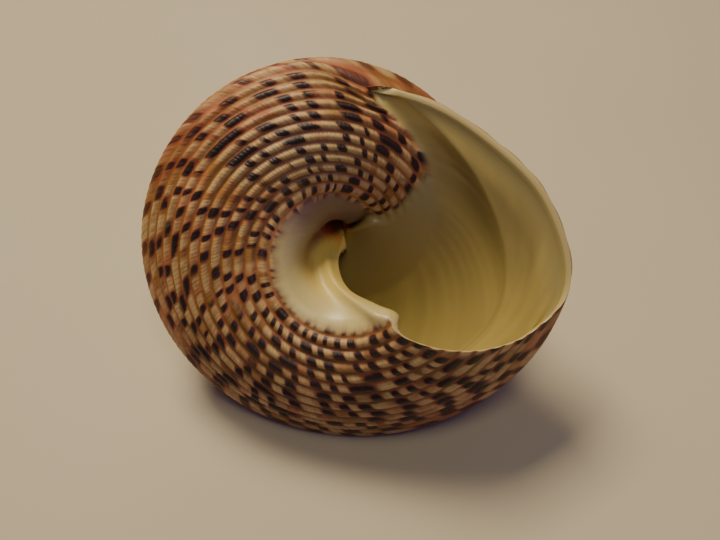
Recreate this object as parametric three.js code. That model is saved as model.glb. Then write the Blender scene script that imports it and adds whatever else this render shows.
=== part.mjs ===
// Trochus top shell: one solid, grown by one rule.
// The shell is a growth line swept round a coiling axis while everything about it gets larger
// by the same factor each turn, so every whorl is a scaled copy of the one before it.
// Millimetres, +Z up. The shell lies on its flank with the mouth side towards -Y and up.
import * as THREE from 'three';

// ---- driving dimensions ----------------------------------------------------------------
const GROWTH = 1.5;              // size gained per whorl
const COLUMNS_PER_BAND = 28;     // growth lines between two meetings of a suture with one growth line
const BANDS = 11;                // bands of growth built, from the lip back to the tip
const SUTURE = 3.5;              // place on the growth line where the next whorl is laid
const FLANK_CORDS = 8;           // spiral ridges between the sutures
const BASE_CORDS = 11;           // spiral ridges on the base, out to the white rim
const CORD_HEIGHT = 0.34;        // half the height from groove to crest at the lip
const LAST_CORD_TURN = -2.3;     // ridges fade out on whorls older than this
const LIP_THICKNESS = 0.9;       // wall at the mouth's very edge
const WALL_THICKNESS = 2.3;      // wall farther in
const PILLAR_THICKNESS = 3.0;    // wall of the twisted pillar
const ROOF_FILL = 4.2;           // lining laid down under the roof, which rounds the hollow off
const LIP_SETBACK = 0.006;       // turns by which the lining stops short of the lip
const CAVITY_COLUMNS = 30;       // how far the mouth's hollow is carried in
const CORNER_LIP = 4.0;          // where the hollow's roof meets the whorl before, at the lip
const CORNER_DEEP = 6.4;         // the same, deep inside
const PILLAR_ROOT = 9.2;         // where the pillar springs from the whorl before
const ROOT_ROWS = 4;             // rows round the corner between the pillar and the whorl before
const LAST_DIP = 0.5;            // how far the last suture drops below the line of the others

// The growth line: distance from the coiling axis, distance below the tip, and how far round
// the shell (in turns) the line has swept ahead, at the lip. Suture, flank, edge, base, rim,
// funnel, and the narrow well beside the axis.
const LINE = [
  [23.9, 40.0, 0.206], [28.6, 46.0, 0.092], [34.3, 52.0, 0.022], [37.5, 57.6, -0.034],
  [33.4, 62.2, -0.066], [28.9, 65.5, -0.082], [24.2, 67.3, -0.097], [18.9, 68.0, -0.114],
  [13.6, 67.4, -0.128], [10.5, 64.7, -0.116], [8.6, 61.2, -0.150], [6.2, 57.1, -0.212],
  [4.0, 52.0, -0.226], [2.8, 47.4, -0.175], [2.4, 44.3, -0.100],
];
// Distance from the axis and below the tip of the last knots, once the funnel has been padded
// behind the lip, and once a pearly layer has been laid over the pad inside the mouth.
const PADDED = [[13.6, 67.4], [9.4, 67.0], [5.8, 65.6], [3.2, 62.2], [2.1, 57.0], [1.7, 50.0], [1.5, 42.0]];
const PEARLED = [[13.9, 68.2], [9.6, 68.0], [6.2, 66.8], [3.8, 64.0], [2.5, 59.0], [1.9, 51.0], [1.6, 42.0]];
const PEARL_EDGE = -0.835;       // turns before the lip at which the pearly layer ends
// Places down the lining of the hollow, as places on the growth line, from roof to pillar.
const LINING = [
  0.4, 0.9, 1.4, 1.9, 2.4, 2.8, 3.2, 3.6, 4.1, 4.8, 5.6, 6.4, 7.2, 7.9, 8.5, 9.1, 9.8, 10.5, 11.2,
  12.0, 12.5, 12.8, 13.0,
];
// How the shell lies: turned about its own axis, then leaned over until its flank is down.
const SPIN_DEG = 6.1;
const LEAN_DEG = 56.2;
const TABLE_LEVEL = 0.65;        // height of the flat spot's plane over the point the whorls grow from

// ---- the growth line as a curve --------------------------------------------------------
function smooth(x) {
  const t = Math.min(Math.max(x, 0), 1);
  return t * t * (3 - 2 * t);
}

function padAt(stage) {
  return smooth((-stage - 0.02) / 0.45);
}

function pearlAt(stage) {
  return smooth((PEARL_EDGE - stage) / 0.03);
}

// One number of one knot, at the lip, or some turns before it.
function knot(row, index, stage) {
  const k = index - (LINE.length - PADDED.length);
  const bare = LINE[index][row];
  if (k < 0 || row === 2 || stage === 0) return bare;
  const worn = bare + (PADDED[k][row] - bare) * padAt(stage);
  return worn + (PEARLED[k][row] - worn) * pearlAt(stage);
}

function spline(row, place, stage = 0) {
  const last = LINE.length - 1;
  const i = Math.min(Math.floor(place), last - 1);
  const f = place - i;
  const a = knot(row, Math.max(i - 1, 0), stage);
  const b = knot(row, i, stage);
  const c = knot(row, i + 1, stage);
  const d = knot(row, Math.min(i + 2, last), stage);
  const v0 = (c - a) / 2;
  const v1 = (d - b) / 2;
  return ((2 * b - 2 * c + v0 + v1) * f + (-3 * b + 3 * c - 2 * v0 - v1)) * f * f + v0 * f + b;
}

function outwardAt(place) {
  const lo = Math.max(place - 0.02, 0);
  const hi = Math.min(place + 0.02, LINE.length - 1);
  const dr = spline(0, hi) - spline(0, lo);
  const dh = spline(1, hi) - spline(1, lo);
  const size = Math.hypot(dr, dh);
  return [dh / size, -dr / size];
}

// Length along the growth line up to a place, at the lip.
const END = LINE.length - 1;
const STEPS = 1400;
const lengthTable = [0];
for (let i = 1; i <= STEPS; i += 1) {
  const u0 = ((i - 1) / STEPS) * END;
  const u1 = (i / STEPS) * END;
  const step = Math.hypot(spline(0, u1) - spline(0, u0), spline(1, u1) - spline(1, u0));
  lengthTable.push(lengthTable[i - 1] + step);
}

function lengthAt(place) {
  const x = (place / END) * STEPS;
  const i = Math.min(Math.floor(x), STEPS - 1);
  return lengthTable[i] + (lengthTable[i + 1] - lengthTable[i]) * (x - i);
}

function placeAt(length) {
  let i = 1;
  while (i < STEPS && lengthTable[i] < length) i += 1;
  const f = (length - lengthTable[i - 1]) / (lengthTable[i] - lengthTable[i - 1]);
  return ((i - 1 + f) / STEPS) * END;
}

// ---- how it lies -----------------------------------------------------------------------
const turnAboutAxis = new THREE.Matrix4().makeRotationZ(THREE.MathUtils.degToRad(SPIN_DEG));
const baseUp = new THREE.Matrix4().makeScale(1, -1, -1);
const lay = new THREE.Matrix4().makeRotationX(THREE.MathUtils.degToRad(LEAN_DEG));
lay.multiply(turnAboutAxis).multiply(baseUp);

// ---- rows down the growth line: two to a cord, then the smooth funnel -------------------
const RIM = 8;
const places = [];
const flankLength = lengthAt(SUTURE);
for (let i = 0; i <= FLANK_CORDS * 2; i += 1) {
  places.push(placeAt((flankLength * i) / (FLANK_CORDS * 2)));
}
places[0] = 0;
places[FLANK_CORDS * 2] = SUTURE;
const ROW_SUTURE = FLANK_CORDS * 2;
const baseLength = lengthAt(RIM) - flankLength;
for (let i = 1; i <= BASE_CORDS * 2; i += 1) {
  places.push(placeAt(flankLength + (baseLength * i) / (BASE_CORDS * 2)));
}
const ROW_RIM = places.length - 1;
places.push(8.6, PILLAR_ROOT, 9.8, 10.5, 11.2, 12, 12.7, 13.3, END);
const ROW_ROOT = places.indexOf(PILLAR_ROOT);
const ROW_AXIS = places.length - 1;

// Row on which the hollow's roof meets the whorl before: it slides in towards the rim with depth,
// so the hollow rounds off into a bowl.
function cornerRow(inward) {
  const place = CORNER_DEEP - (CORNER_DEEP - CORNER_LIP) * Math.exp(-inward / 3.5);
  let row = ROW_SUTURE + 1;
  while (row < ROW_RIM && places[row] < place) row += 1;
  return row;
}

// ---- the growth rule -------------------------------------------------------------------
const TURNS_PER_BAND = 1 - (LINE[0][2] - spline(2, SUTURE));
const TURN_STEP = TURNS_PER_BAND / COLUMNS_PER_BAND;

const PILLAR_COLUMN = -Math.round(1 / TURN_STEP) - 3;

function coil(r, h, turn) {
  const size = GROWTH ** turn;
  const angle = 2 * Math.PI * turn;
  return new THREE.Vector3(size * r * Math.cos(angle), -size * r * Math.sin(angle), -size * h);
}

// The last suture drops: the place it meets the whorl before slides down the growth line.
function suturePlace(turn) {
  return SUTURE + LAST_DIP * smooth((turn + TURNS_PER_BAND + 0.45) / 0.45);
}

// Place of a row once it has made room for the dropped suture; past the mouth's corner the
// drop fades out again.
function dippedPlace(place, stage) {
  const fading = 1 - smooth((stage + TURNS_PER_BAND) / 0.05);
  const stretch = (suturePlace(Math.min(stage, -TURNS_PER_BAND)) - SUTURE) * fading;
  const above = smooth((lengthAt(place) / flankLength - 0.6) / 0.4);
  const below = 1 - smooth((place - SUTURE) / 1.7);
  return place + stretch * (place <= SUTURE ? above : below);
}

function cordRelief(row, turn) {
  if (row > ROW_RIM) return 0;
  const crest = row % 2 === 1 ? 1 : -1;
  const fade = smooth((turn - LAST_CORD_TURN) / 0.6);
  const rim = smooth((ROW_RIM - row) / 3);
  const glazed = row > ROW_SUTURE ? smooth((turn + 0.92) / 0.1) : 1;
  const edge = 1 - 0.7 * smooth((turn + 0.05) / 0.05);
  return CORD_HEIGHT * crest * fade * glazed * edge * (row === ROW_SUTURE ? 1 : rim);
}

// Swelling of the pillar along its free edge, some mm back from the edge, and the furrow behind it.
function ropeAt(place, back) {
  const there = smooth((place - 8.3) / 0.7);
  const swell = 0.85 * Math.exp(-(((back - 2.0) / 1.3) ** 2)) * (1 - smooth((place - 13) / 0.8));
  const furrow = 0.6 * Math.exp(-(((back - 5.4) / 1.6) ** 2)) * smooth((place - 9.8) / 1.2)
    * (1 - smooth(place - 12.6));
  const curl = 1.1 * (1 - Math.min(back / 1.6, 1)) ** 2 * (1 - smooth((place - 11.4) / 1.2));
  return there * (swell - furrow - curl);
}

// Distance from the axis, distance below the tip and turn of a surface point.
function surface(row, column) {
  const stage = column * TURN_STEP;
  const place = places[row];
  const out = outwardAt(place);
  let r = spline(0, place, stage);
  let h = spline(1, place, stage);
  if (row > ROW_RIM && stage > -0.6) {
    const swell = ropeAt(place, -stage * 2 * Math.PI * r);
    r += out[0] * swell;
    h += out[1] * swell;
  }
  return [r, h, stage + spline(2, place)];
}

// How far a spot of the upper flank, some share of the way down it, follows its suture down.
function pullAt(share, stage, turn) {
  const dipped = suturePlace(stage - TURNS_PER_BAND);
  const here = coil(spline(0, SUTURE), spline(1, SUTURE), turn - 1);
  const there = coil(spline(0, dipped), spline(1, dipped), turn - 1);
  return there.sub(here).multiplyScalar(Math.max(1 - share, 0) ** 3);
}

function outerPoint(row, column) {
  if (row > ROW_RIM) return coil(...surface(row, column));
  const stage = column * TURN_STEP;
  const place = dippedPlace(places[row], stage);
  const turn = stage + spline(2, place);
  const out = outwardAt(place);
  const lift = cordRelief(row, stage);
  const r = spline(0, place, stage);
  const h = spline(1, place, stage);
  const bare = coil(r, h, turn);
  const worn = lift * smooth((bare.applyMatrix4(lay).z - TABLE_LEVEL) / 0.9);
  const p = coil(r + out[0] * worn, h + out[1] * worn, turn);
  return row < ROW_SUTURE ? p.add(pullAt(row / ROW_SUTURE, stage, turn)) : p;
}

function wallAt(place, inward) {
  const pillar = smooth((place - 7.6) / 1.2);
  const lip = LIP_THICKNESS + (WALL_THICKNESS - LIP_THICKNESS) * smooth(inward / 1.6);
  const knob = 0.9 * Math.exp(-(((place - 8.5) / 0.5) ** 2)) * (1 - smooth(inward / 2));
  const bend = Math.exp(-(((place - 3.1) / 1.1) ** 2));   // the edge is too tight for a thicker wall
  const narrowing = 1 + 0.25 * smooth((inward - 20) / 10) * (1 - bend) - 0.22 * bend * smooth(inward / 6);
  const roof = ROOF_FILL * Math.exp(-place / 1.3) * smooth(inward / 4);
  const neck = 0.8 * smooth((place - 11.5) / 0.8) * (1 - smooth((place - 12.5) / 0.7));
  const slim = PILLAR_THICKNESS - 1.3 * smooth((place - 10) / 2) - neck;
  return (lip * (1 - pillar) + slim * pillar + knob + roof) * narrowing;
}

function lining(index, inward) {
  const place = LINING[index];
  const head = 0.02 * smooth((place - 12.4) / 0.8) * (1 - smooth(inward / 3));
  const turn = -inward * TURN_STEP - LIP_SETBACK + head + spline(2, place);
  const out = outwardAt(place);
  const wall = wallAt(place, inward);
  return [spline(0, place) - out[0] * wall, spline(1, place) - out[1] * wall, turn];
}

function liningPoint(index, inward) {
  const [r, h, turn] = lining(index, inward);
  const share = lengthAt(LINING[index]) / flankLength;
  return coil(r, h, turn).add(pullAt(share, -inward * TURN_STEP, turn));
}

// A point some way round the corner between the pillar and the whorl before.
function rootPoint(inward, t) {
  const onThisWhorl = ([r, h, turn]) => [r / GROWTH, h / GROWTH, turn + 1];
  const start = lining(LINING.length - 1, inward);
  const finish = onThisWhorl(surface(ROW_ROOT, PILLAR_COLUMN - inward));
  const beyond = onThisWhorl(surface(ROW_ROOT - 1, PILLAR_COLUMN - inward));
  const span = Math.hypot(finish[0] - start[0], finish[1] - start[1]);
  const arrive = span / Math.hypot(beyond[0] - finish[0], beyond[1] - finish[1]);
  const leave = [0, -0.5 * span, finish[2] - start[2]];
  return coil(...[0, 1, 2].map((k) => {
    const a = leave[k];
    const b = k === 2 ? finish[2] - start[2] : (beyond[k] - finish[k]) * arrive;
    return start[k] * (2 * t ** 3 - 3 * t ** 2 + 1) + a * (t ** 3 - 2 * t ** 2 + t)
      + finish[k] * (3 * t ** 2 - 2 * t ** 3) + b * (t ** 3 - t ** 2);
  }));
}

// ---- net: shared vertices, strips and loops ---------------------------------------------
const points = [];
const faces = [];
const named = new Map();
const FIRST_COLUMN = -BANDS * COLUMNS_PER_BAND;

function addPoint(p) {
  points.push(p);
  return points.length - 1;
}

function vertex(row, column) {
  if (row === 0 && column - COLUMNS_PER_BAND >= FIRST_COLUMN) {
    return vertex(ROW_SUTURE, column - COLUMNS_PER_BAND);
  }
  const key = `${row},${column}`;
  if (!named.has(key)) named.set(key, addPoint(outerPoint(row, column)));
  return named.get(key);
}

// A strip between two chains of [place, vertex], both running the same way.
function strip(left, right) {
  let a = 0;
  let b = 0;
  while (a < left.length - 1 || b < right.length - 1) {
    const nextA = a < left.length - 1 ? left[a + 1] : [Infinity, 0];
    const nextB = b < right.length - 1 ? right[b + 1] : [Infinity, 0];
    let leftFirst = nextA[0] <= nextB[0];
    if (nextA[0] === nextB[0] && nextA[0] !== ROW_AXIS) {
      // level with each other: split the cell along its shorter diagonal
      const across = points[nextA[1]].distanceTo(points[right[b][1]]);
      leftFirst = across < points[nextB[1]].distanceTo(points[left[a][1]]);
    }
    let face;
    if (leftFirst) {
      face = [left[a][1], right[b][1], nextA[1]];
      a += 1;
    } else {
      face = [left[a][1], right[b][1], nextB[1]];
      b += 1;
    }
    if (new Set(face).size === 3) faces.push(face);
  }
}

function bandOf(column) {
  return Math.floor(-column / COLUMNS_PER_BAND);
}

function columnStep(band) {
  if (band <= 2) return 1;
  return band <= 5 ? 2 : 4;
}

function rowStep(band) {
  if (band <= 2) return 1;
  return band <= 4 ? 2 : 4;
}

function chain(column, rows) {
  return rows.map((row) => [row, vertex(row, column)]);
}

function range(first, last, step) {
  const out = [];
  for (let i = first; i <= last; i += step) out.push(i);
  return out;
}

// spire: the flank of every older whorl, suture to suture
for (let column = FIRST_COLUMN; column < -COLUMNS_PER_BAND;) {
  const band = bandOf(column + 1);
  const step = columnStep(band);
  const next = column + step;
  const rowsHere = range(0, ROW_SUTURE, rowStep(band));
  const rowsNext = range(0, ROW_SUTURE, rowStep(bandOf(next + 1)));
  const finer = columnStep(band - 1);
  const loLast = rowsHere[rowsHere.length - 2];
  const hiLast = rowsNext[rowsNext.length - 2];
  strip(chain(column, rowsHere.slice(0, -1)), chain(next, rowsNext.slice(0, -1)));
  // the last cell before the suture takes the next whorl's closer spacing
  const edge = range(column, next, finer).map((c) => [c, vertex(ROW_SUTURE, c)]);
  const inner = [[column, vertex(loLast, column)], [next, vertex(hiLast, next)]];
  strip(edge, inner);
  column = next;
}

// body: every row of the last part-turn, and the base that runs on into the mouth
const allRows = range(0, ROW_AXIS, 1);
for (let column = -COLUMNS_PER_BAND; column < 0; column += 1) {
  strip(chain(column, allRows), chain(column + 1, allRows));
}
const deepColumn = PILLAR_COLUMN - CAVITY_COLUMNS;
function insideRows(column, next) {
  const inward = Math.min(-COLUMNS_PER_BAND - column, CAVITY_COLUMNS);
  return range(cornerRow(inward), next > PILLAR_COLUMN ? ROW_AXIS : ROW_ROOT, 1);
}
for (let column = deepColumn; column < -COLUMNS_PER_BAND; column += 1) {
  const next = column + 1;
  strip(chain(column, insideRows(column, next)), chain(next, insideRows(next, next)));
}

// lining of the hollow: roof, outer wall, floor and pillar
function liningChain(inward) {
  const out = [[0, vertex(cornerRow(inward), -COLUMNS_PER_BAND - inward)]];
  for (let i = 0; i < LINING.length; i += 1) {
    const key = `lining ${i},${inward}`;
    if (!named.has(key)) named.set(key, addPoint(liningPoint(i, inward)));
    out.push([i + 1, named.get(key)]);
  }
  for (let i = 1; i < ROOT_ROWS; i += 1) {
    const key = `root ${i},${inward}`;
    if (!named.has(key)) named.set(key, addPoint(rootPoint(inward, i / ROOT_ROWS)));
    out.push([LINING.length + i, named.get(key)]);
  }
  out.push([LINING.length + ROOT_ROWS, vertex(ROW_ROOT, PILLAR_COLUMN - inward)]);
  return out;
}
for (let inward = 0; inward < CAVITY_COLUMNS; inward += 1) {
  strip(liningChain(inward), liningChain(inward + 1));
}

// lip: from the outer edge round to the lining, and down the step by the axis
const outerEdge = chain(0, allRows).map(([row, v]) => [places[row], v]);
for (let column = -1; column >= PILLAR_COLUMN; column -= 1) {
  outerEdge.push([END + column / PILLAR_COLUMN, vertex(ROW_AXIS, column)]);
}
const innerEdge = [];
const lipCorner = cornerRow(0);
for (let row = ROW_SUTURE; row < lipCorner; row += 1) {
  innerEdge.push([(0.3 * (row - ROW_SUTURE)) / (lipCorner - ROW_SUTURE), vertex(row, -COLUMNS_PER_BAND)]);
}
liningChain(0).forEach(([i, v]) => {
  const place = i === 0 ? 0.3 : LINING[i - 1];
  innerEdge.push([i > LINING.length ? 13 + 0.04 * (i - LINING.length) : place, v]);
});
for (let row = ROW_ROOT + 1; row <= ROW_AXIS; row += 1) {
  const f = (row - ROW_ROOT) / (ROW_AXIS - ROW_ROOT);
  innerEdge.push([f < 1 ? 13.2 + (END - 13.2) * f : END + 1, vertex(row, PILLAR_COLUMN)]);
}
// halfway round the lip's rounded edge, thrown a little forward
const roundEdge = [outerEdge[0]];
for (let i = 0; i < LINING.length; i += 1) {
  const place = LINING[i];
  const turn = spline(2, place);
  const out = outwardAt(place);
  const wall = wallAt(place, 0);
  const through = (wall - ropeAt(place, 0)) / 2;
  const r = spline(0, place) - out[0] * through;
  const h = spline(1, place) - out[1] * through;
  const ahead = coil(r, h, turn + 0.001).sub(coil(r, h, turn)).normalize();
  const edge = coil(r, h, turn).add(pullAt(lengthAt(place) / flankLength, 0, turn));
  roundEdge.push([place, addPoint(edge.addScaledVector(ahead, wall * 0.22))]);
}
roundEdge.push([END + 0.02, outerEdge[outerEdge.length - 1][1]]);
strip(outerEdge, roundEdge);
strip(roundEdge, innerEdge);

// whatever loops are left open, at the tip and at the deep end of the hollow, are closed
function closeLoops() {
  const open = new Map();
  const seen = new Set(faces.flatMap(([a, b, c]) => [`${a},${b}`, `${b},${c}`, `${c},${a}`]));
  faces.forEach(([a, b, c]) => {
    [[a, b], [b, c], [c, a]].forEach(([p, q]) => {
      if (!seen.has(`${q},${p}`)) open.set(q, p);
    });
  });
  while (open.size > 0) {
    const start = open.keys().next().value;
    const loop = [start];
    let at = open.get(start);
    open.delete(start);
    while (at !== start && at !== undefined) {
      loop.push(at);
      const next = open.get(at);
      open.delete(at);
      at = next;
    }
    const centre = new THREE.Vector3();
    loop.forEach((v) => centre.add(points[v]));
    const hub = addPoint(centre.divideScalar(loop.length));
    loop.forEach((v, i) => faces.push([v, loop[(i + 1) % loop.length], hub]));
  }
}
closeLoops();

// ---- the small flat spot ---------------------------------------------------------------
points.forEach((p) => p.applyMatrix4(lay));
points.forEach((p) => {
  p.z = Math.max(p.z - TABLE_LEVEL, 0);
});
const box = new THREE.Box3().setFromPoints(points);
const middle = box.getCenter(new THREE.Vector3());
points.forEach((p) => {
  p.x -= middle.x;
  p.y -= middle.y;
});

const geometry = new THREE.BufferGeometry();
const numbers = points.flatMap((p) => [p.x, p.y, p.z]);
geometry.setAttribute('position', new THREE.Float32BufferAttribute(numbers, 3));
geometry.setIndex(faces.flat());
geometry.computeVertexNormals();

const material = new THREE.MeshStandardMaterial({ color: 0xa9825f, roughness: 0.42, metalness: 0 });
const shell = new THREE.Mesh(geometry, material);
shell.name = 'shell';
const top = new THREE.Group();
top.name = 'trochus_top_shell';
top.add(shell);
export default top;
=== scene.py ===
"""Trochus top shell, dressed, on a pale table in soft light.

The shell is one sheet, drawn flat as a net of growth lines. One Geometry Nodes tree coils the
net up, ribs it and lays it on its flank, and one finish colours every spot by when and where
on the growth line it was laid down.
"""
from __future__ import annotations

import logging
import math
from dataclasses import dataclass, field
from enum import Enum

import bpy
import numpy as np
from mathutils import Matrix, Vector


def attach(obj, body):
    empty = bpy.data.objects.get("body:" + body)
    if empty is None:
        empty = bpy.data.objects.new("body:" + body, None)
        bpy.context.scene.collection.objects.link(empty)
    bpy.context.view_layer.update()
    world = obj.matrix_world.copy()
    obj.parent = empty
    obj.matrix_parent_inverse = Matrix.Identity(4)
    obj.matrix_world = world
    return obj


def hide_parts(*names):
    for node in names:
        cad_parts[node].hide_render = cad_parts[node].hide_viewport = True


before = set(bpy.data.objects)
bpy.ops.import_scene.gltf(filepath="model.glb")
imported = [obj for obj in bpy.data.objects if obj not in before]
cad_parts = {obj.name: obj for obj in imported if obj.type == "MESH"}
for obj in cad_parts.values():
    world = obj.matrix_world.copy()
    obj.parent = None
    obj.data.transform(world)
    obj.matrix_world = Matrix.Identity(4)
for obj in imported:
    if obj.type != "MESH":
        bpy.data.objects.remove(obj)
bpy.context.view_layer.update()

log = logging.getLogger("trochus")
MM = 0.001
Triple = tuple[float, float, float]


def srgb(red: int, green: int, blue: int) -> tuple[float, float, float, float]:
    """Linear colour, with full alpha, of a 0 to 255 screen colour.

    Args:
        red: Red, 0 to 255.
        green: Green, 0 to 255.
        blue: Blue, 0 to 255.

    Returns:
        Linear red, green and blue, and full alpha.
    """
    def linear(level: int) -> float:
        """Linear light of one channel."""
        share = level / 255
        return share / 12.92 if share <= 0.04045 else ((share + 0.055) / 1.055) ** 2.4
    return linear(red), linear(green), linear(blue), 1.0


def smooth(x: float) -> float:
    """Ease from 0 to 1 as x goes from 0 to 1."""
    t = min(max(x, 0.0), 1.0)
    return t * t * (3 - 2 * t)


# ---- node trees written as expressions ---------------------------------------------------
class Wire:
    """A value on its way through a node tree: arithmetic on it adds Math nodes."""

    def __init__(self, board: "Board", socket: bpy.types.NodeSocket) -> None:
        """Keep the socket and the board that it belongs to."""
        self.board = board
        self.socket = socket

    def __add__(self, other: "Wire | float") -> "Wire":
        """Sum."""
        return self.board.math("ADD", self, other)

    def __sub__(self, other: "Wire | float") -> "Wire":
        """Difference."""
        return self.board.math("SUBTRACT", self, other)

    def __rsub__(self, other: float) -> "Wire":
        """Difference, from a number."""
        return self.board.math("SUBTRACT", other, self)

    def __mul__(self, other: "Wire | float") -> "Wire":
        """Product."""
        return self.board.math("MULTIPLY", self, other)

    def __truediv__(self, other: "Wire | float") -> "Wire":
        """Quotient."""
        return self.board.math("DIVIDE", self, other)

    def __rtruediv__(self, other: float) -> "Wire":
        """Quotient, of a number."""
        return self.board.math("DIVIDE", other, self)

    def __pow__(self, other: "Wire | float") -> "Wire":
        """Power."""
        return self.board.math("POWER", self, other)

    def __rpow__(self, other: float) -> "Wire":
        """Power of a number."""
        return self.board.math("POWER", other, self)

    def __neg__(self) -> "Wire":
        """Opposite."""
        return self.board.math("MULTIPLY", self, -1.0)

    __radd__ = __add__
    __rmul__ = __mul__


Value = Wire | float


class Board:
    """A node tree being written, and the ways of adding nodes to it."""

    def __init__(self, tree: bpy.types.NodeTree) -> None:
        """Start on an empty tree."""
        self.tree = tree
        tree.nodes.clear()

    def node(self, kind: str, settings: dict | None = None, inputs: dict | None = None) -> bpy.types.Node:
        """Add one node.

        Args:
            kind: The node's type.
            settings: Properties to set on it, before its sockets are filled.
            inputs: Values or wires for its sockets, by name or number.

        Returns:
            The node.
        """
        made = self.tree.nodes.new(kind)
        for name, value in (settings or {}).items():
            setattr(made, name, value)
        for key, value in (inputs or {}).items():
            if isinstance(value, Wire):
                self.tree.links.new(value.socket, made.inputs[key])
            else:
                made.inputs[key].default_value = value
        return made

    def out(self, made: bpy.types.Node, key: str | int = 0) -> Wire:
        """Wire from one of a node's outputs."""
        return Wire(self, made.outputs[key])

    def math(self, operation: str, *values: Value) -> Wire:
        """Math node on up to three values."""
        settings = {"operation": operation}
        return self.out(self.node("ShaderNodeMath", settings, dict(enumerate(values))))

    def vector(self, operation: str, *values: Wire | Triple, scale: Value | None = None) -> Wire:
        """Vector Math node on vectors, with a scale where it takes one.

        Args:
            operation: The node's operation.
            values: Vectors, or wires that carry them.
            scale: Factor, for an operation that takes one.

        Returns:
            The result.
        """
        inputs: dict = dict(enumerate(values))
        if scale is not None:
            inputs["Scale"] = scale
        return self.out(self.node("ShaderNodeVectorMath", {"operation": operation}, inputs))

    def ease(self, value: Value, low: float, high: float, start: float = 0.0, end: float = 1.0) -> Wire:
        """Smooth step from start to end as a value goes from low to high.

        Args:
            value: What the step depends on.
            low: Value at which it starts.
            high: Value at which it ends.
            start: Result before it.
            end: Result after it.

        Returns:
            The result.
        """
        inputs = {"Value": value, "From Min": low, "From Max": high, "To Min": start, "To Max": end}
        settings = {"interpolation_type": "SMOOTHSTEP"}
        return self.out(self.node("ShaderNodeMapRange", settings, inputs))

    def xyz(self, x: Value, y: Value, z: Value = 0.0) -> Wire:
        """Vector from three values."""
        return self.out(self.node("ShaderNodeCombineXYZ", None, {0: x, 1: y, 2: z}))

    def parts(self, vector: Wire) -> tuple[Wire, Wire, Wire]:
        """The three values of a vector."""
        made = self.node("ShaderNodeSeparateXYZ", None, {0: vector})
        return self.out(made, 0), self.out(made, 1), self.out(made, 2)

    def noise(self, x: Value, y: Value, seed: float, detail: float = 2.0, rough: float = 0.5) -> Wire:
        """Soft noise, about 0 to 1, over two values."""
        inputs = {"Vector": self.xyz(x, y, seed), "Scale": 1.0, "Detail": detail, "Roughness": rough}
        return self.out(self.node("ShaderNodeTexNoise", {"noise_dimensions": "3D"}, inputs))

    def dice(self, value: Value, seed: float) -> Wire:
        """A throw from 0 to 1 that depends only on the value.

        Args:
            value: What the throw depends on.
            seed: Number that tells one use from another.

        Returns:
            The throw.
        """
        settings = {"noise_dimensions": "2D"}
        made = self.node("ShaderNodeTexWhiteNoise", settings, {"Vector": self.xyz(value, seed)})
        return self.out(made, "Value")

    def mix(self, factor: Value, first: Wire | tuple, second: Wire | tuple) -> Wire:
        """Colour between two, by a factor.

        Args:
            factor: Share of the second colour.
            first: Colour at 0.
            second: Colour at 1.

        Returns:
            The mixed colour.
        """
        settings = {"data_type": "RGBA"}
        made = self.node("ShaderNodeMix", settings, {0: factor, 6: first, 7: second})
        return self.out(made, 2)

    def wave(self, turns: Wire) -> Wire:
        """Cosine wave, 1 at every whole number."""
        return self.math("COSINE", turns * math.tau)


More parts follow.
